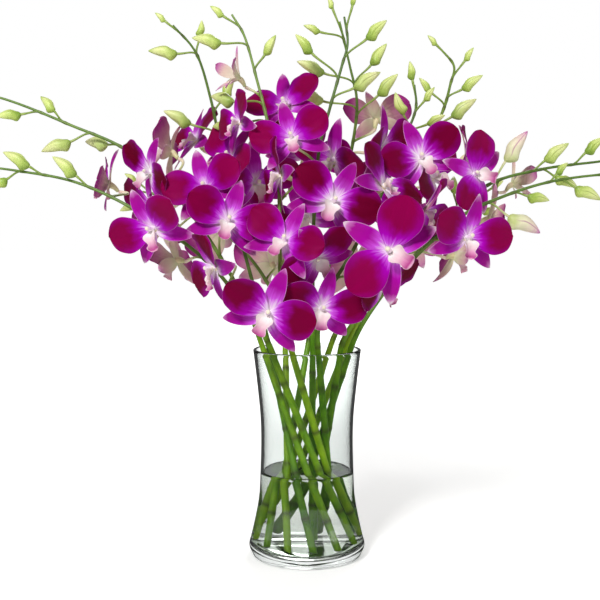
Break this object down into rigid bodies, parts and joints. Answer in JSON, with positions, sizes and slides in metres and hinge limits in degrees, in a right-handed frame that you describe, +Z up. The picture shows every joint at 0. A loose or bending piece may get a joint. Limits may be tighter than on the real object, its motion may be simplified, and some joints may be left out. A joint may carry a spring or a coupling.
{
  "type": "vase of dendrobium orchid stems",
  "caption": "Cut dendrobium orchid sprays with purple blooms and green buds, standing in a clear flared glass vase of water.",
  "frame": {"origin": "middle of the vase's flat foot, on the surface that it stands on", "axes": "+Z up along the vase's axis; -Y towards the side that the picture shows; +X to the right as seen from there"},
  "size_m": [0.6611, 0.2271, 0.4948],
  "materials": {
    "clear_glass": "gloss",
    "water": "gloss",
    "stem": "satin",
    "petal": "satin"
  },
  "bodies": {
    "root": {"vase": "clear_glass", "water": "water", "stem_a": "stem", "stem_b": "stem", "stem_c": "stem", "stem_d": "stem", "stem_e": "stem", "stem_f": "stem", "stem_g": "stem", "stem_h": "stem", "stem_i": "stem", "stem_j": "stem", "stem_k": "stem", "stem_l": "stem", "bloom_a1": "petal", "bloom_a2": "petal", "bloom_a3": "petal", "bloom_a4": "petal", "bloom_a5": "petal", "bloom_b1": "petal", "bloom_b2": "petal", "bloom_b3": "petal", "bloom_b4": "petal", "bloom_c1": "petal", "bloom_c2": "petal", "bloom_c3": "petal", "bloom_c4": "petal", "bloom_d1": "petal", "bloom_d2": "petal", "bloom_d3": "petal", "bloom_d4": "petal", "bloom_d5": "petal", "bloom_d6": "petal", "bloom_e1": "petal", "bloom_e2": "petal", "bloom_e3": "petal", "bloom_e4": "petal", "bloom_f1": "petal", "bloom_f2": "petal", "bloom_f3": "petal", "bloom_f4": "petal", "bloom_g1": "petal", "bloom_g2": "petal", "bloom_g3": "petal", "bloom_g4": "petal", "bloom_h1": "petal", "bloom_h2": "petal", "bloom_h3": "petal", "bloom_h4": "petal", "bloom_i1": "petal", "bloom_i2": "petal", "bloom_i3": "petal", "bloom_i4": "petal", "bloom_j1": "petal", "bloom_k1": "petal", "bloom_k2": "petal", "bloom_k3": "petal", "bloom_l1": "petal", "bloom_l2": "petal", "bloom_l3": "petal"}
  },
  "joints": []
}
